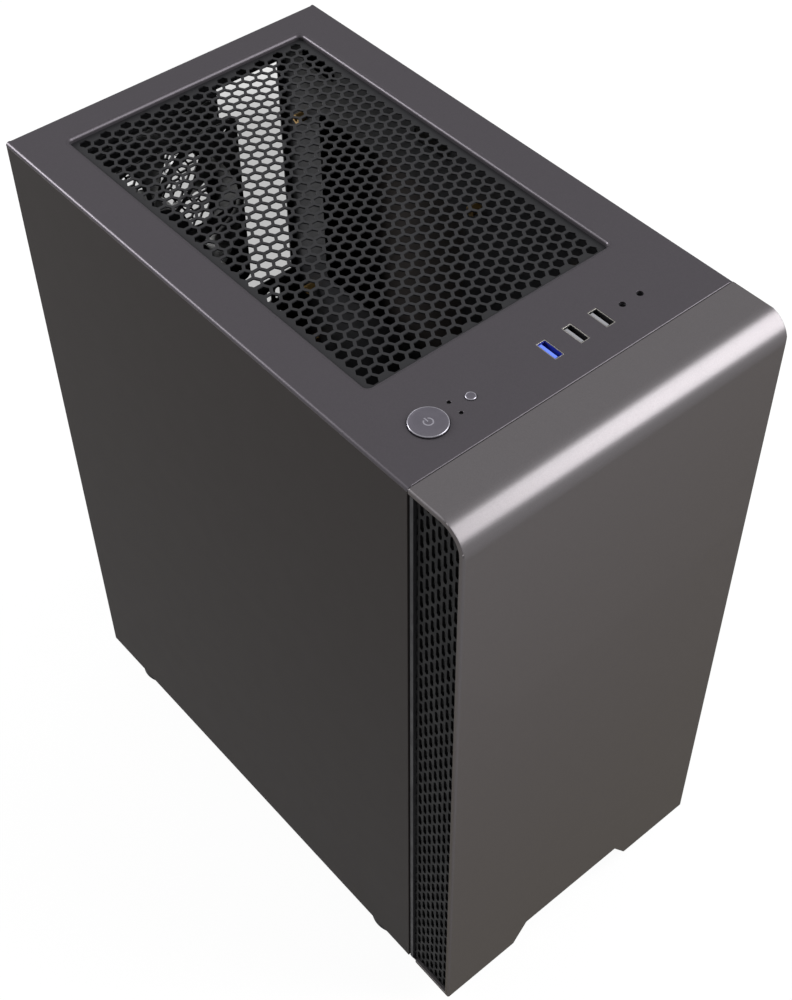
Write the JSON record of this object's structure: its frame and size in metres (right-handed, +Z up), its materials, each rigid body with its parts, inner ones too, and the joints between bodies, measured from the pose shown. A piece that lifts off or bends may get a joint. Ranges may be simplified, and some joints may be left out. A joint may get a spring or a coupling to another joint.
{
  "type": "desktop computer tower",
  "caption": "Compact computer tower case with a curved front bezel, slotted side vents, a honeycomb top, front controls, sliding side panels and a rear fan.",
  "frame": {"origin": "centre of the outer box at floor level", "axes": "+X to the right seen from the front, -Y towards the front, +Z up"},
  "size_m": [0.21, 0.372, 0.4521],
  "materials": {
    "body_paint": "metallic dark grey",
    "top_paint": "metallic dark grey",
    "panel_paint": "satin dark grey",
    "chassis_paint": "satin black",
    "black_plastic": "matte",
    "filter_mesh": "fine woven mesh",
    "rubber": "matte",
    "bright_steel": "satin",
    "black_screws": "black",
    "brass": "machined brass",
    "usb_blue": "gloss",
    "circuit_board": "solder mask",
    "lens": "smoked",
    "button": "metallic grey"
  },
  "bodies": {
    "chassis": {"floor_pan": "chassis_paint", "front_plate": "chassis_paint", "rear_panel": "chassis_paint", "motherboard_tray": "chassis_paint", "upper_rail_left": "chassis_paint", "upper_rail_right": "chassis_paint", "top_panel": "top_paint", "top_mesh": "chassis_paint", "psu_shroud": "chassis_paint", "psu_pads": "rubber", "drive_cage": "chassis_paint", "drive_sled_lower": "black_plastic", "drive_sled_upper": "black_plastic", "ssd_bracket": "chassis_paint", "cable_grommets": "rubber", "standoffs": "brass", "chassis_rivets": "bright_steel", "slot_cover_1": "chassis_paint", "slot_cover_2": "chassis_paint", "slot_cover_3": "chassis_paint", "slot_cover_4": "chassis_paint", "slot_ledge": "chassis_paint", "slot_screws": "bright_steel", "fan_frame": "black_plastic", "fan_guard": "chassis_paint", "fan_screws": "black_screws", "front_io_board": "circuit_board", "usb_shells": "bright_steel", "usb3_tongue": "usb_blue", "usb2_tongues": "black_plastic", "audio_jacks": "black_plastic", "indicator_lenses": "lens", "power_switch": "black_plastic", "reset_switch": "black_plastic", "foot_front_left": "black_plastic", "foot_front_right": "black_plastic", "foot_rear_left": "black_plastic", "foot_rear_right": "black_plastic", "pad_front_left": "rubber", "pad_front_right": "rubber", "pad_rear_left": "rubber", "pad_rear_right": "rubber"},
    "bezel": {"front_bezel": "body_paint", "vent_left": "black_plastic", "vent_right": "black_plastic", "vent_filter_left": "filter_mesh", "vent_filter_right": "filter_mesh"},
    "left_side": {"left_panel": "panel_paint"},
    "right_side": {"right_panel": "panel_paint"},
    "left_upper_screw": {"thumbscrew_left_upper": "bright_steel"},
    "left_lower_screw": {"thumbscrew_left_lower": "bright_steel"},
    "right_upper_screw": {"thumbscrew_right_upper": "bright_steel"},
    "right_lower_screw": {"thumbscrew_right_lower": "bright_steel"},
    "rotor": {"fan_rotor": "black_plastic"},
    "power_key": {"power_button": "button"},
    "reset_key": {"reset_button": "button"},
    "bottom_filter": {"psu_filter": "black_plastic"}
  },
  "joints": [
    {"name": "power_button_press", "type": "slide", "parent": "chassis", "child": "power_key", "axis": [0, 0, -1], "range_m": [0, 0.0012], "stiffness_N_per_m": 1500, "springref_m": -0.0005},
    {"name": "reset_button_press", "type": "slide", "parent": "chassis", "child": "reset_key", "axis": [0, 0, -1], "range_m": [0, 0.0008], "stiffness_N_per_m": 1500, "springref_m": -0.0004},
    {"name": "left_panel_slide", "type": "slide", "parent": "chassis", "child": "left_side", "axis": [0, 1, 0], "range_m": [0, 0.018]},
    {"name": "right_panel_slide", "type": "slide", "parent": "chassis", "child": "right_side", "axis": [0, 1, 0], "range_m": [0, 0.018]},
    {"name": "left_upper_screw_turn", "type": "hinge", "parent": "left_side", "child": "left_upper_screw", "pos_m": [-0.0981, 0.18, 0.409], "axis": [0, 1, 0], "continuous": true},
    {"name": "left_lower_screw_turn", "type": "hinge", "parent": "left_side", "child": "left_lower_screw", "pos_m": [-0.0981, 0.18, 0.059], "axis": [0, 1, 0], "continuous": true},
    {"name": "right_upper_screw_turn", "type": "hinge", "parent": "right_side", "child": "right_upper_screw", "pos_m": [0.0981, 0.18, 0.409], "axis": [0, 1, 0], "continuous": true},
    {"name": "right_lower_screw_turn", "type": "hinge", "parent": "right_side", "child": "right_lower_screw", "pos_m": [0.0981, 0.18, 0.059], "axis": [0, 1, 0], "continuous": true},
    {"name": "rear_fan_spin", "type": "hinge", "parent": "chassis", "child": "rotor", "pos_m": [-0.035, 0.17, 0.363], "axis": [0, 1, 0], "continuous": true},
    {"name": "front_bezel_pull", "type": "slide", "parent": "chassis", "child": "bezel", "axis": [0, -1, 0], "range_m": [0, 0.04]},
    {"name": "bottom_filter_slide", "type": "slide", "parent": "chassis", "child": "bottom_filter", "axis": [0, 1, 0], "range_m": [0, 0.16]}
  ]
}
